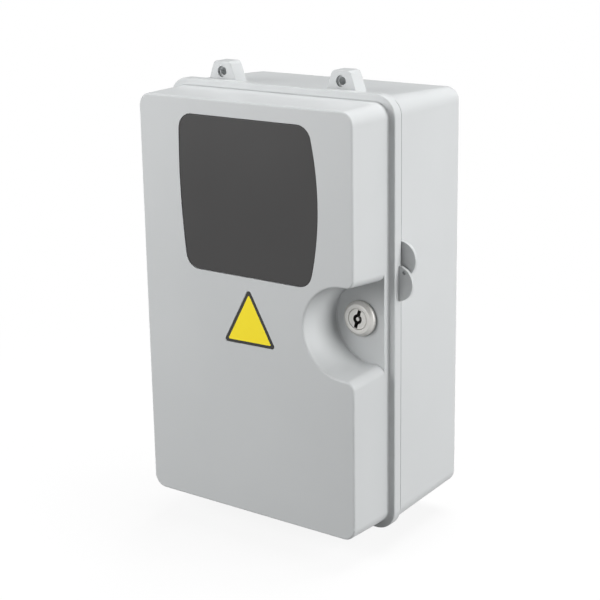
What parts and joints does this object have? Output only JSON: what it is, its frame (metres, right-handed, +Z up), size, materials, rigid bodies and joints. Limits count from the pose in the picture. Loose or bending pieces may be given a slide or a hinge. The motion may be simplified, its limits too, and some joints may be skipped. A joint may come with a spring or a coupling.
{
  "type": "distribution enclosure",
  "caption": "Wall-mounted plastic distribution enclosure with a hinged deep door, tinted viewing window, scooped turn lock, seal ears and fixing lugs.",
  "frame": {"origin": "middle of the flat back face of the rear box", "axes": "+X to the right seen from the front, +Y into the wall, +Z up"},
  "size_m": [0.2077, 0.1297, 0.324],
  "materials": {
    "grey_plastic": "fine satin moulded surface",
    "tinted_pane": "dark tinted, satin",
    "black_foam": "matte foam",
    "lock_metal": "satin nickel",
    "zinc_steel": "zinc plated",
    "brass": "machined",
    "insulator": "moulded",
    "blank_plate": "satin yellow sheet with a dark border"
  },
  "bodies": {
    "root": {"rear_box": "grey_plastic", "hinge_pin_top": "zinc_steel", "hinge_pin_bottom": "zinc_steel", "mounting_plate": "zinc_steel", "plate_screws": "zinc_steel", "rail_brackets": "zinc_steel", "bracket_screws": "zinc_steel", "din_rail": "zinc_steel", "rail_screws": "zinc_steel", "bar_feet": "insulator", "terminal_bar": "brass", "bar_screws": "zinc_steel", "terminal_screws": "zinc_steel"},
    "door": {"door_shell": "grey_plastic", "door_gasket": "black_foam", "window_pane": "tinted_pane", "window_seal": "black_foam", "window_screws": "zinc_steel", "lock_housing": "lock_metal", "lock_seal_washer": "black_foam", "lock_nut": "zinc_steel"},
    "lock_barrel": {"lock_driver": "lock_metal", "lock_cam": "zinc_steel", "cam_washer": "zinc_steel", "cam_screw": "zinc_steel"}
  },
  "joints": [
    {"name": "door_hinge", "type": "hinge", "parent": "root", "child": "door", "pos_m": [-0.0988, -0.08255, 0], "axis": [0, 0, -1], "range_deg": [0, 150]},
    {"name": "lock_turn", "type": "hinge", "parent": "door", "child": "lock_barrel", "pos_m": [0.071, -0.09, 0.0011], "axis": [0, 1, 0], "range_deg": [0, 90]}
  ]
}
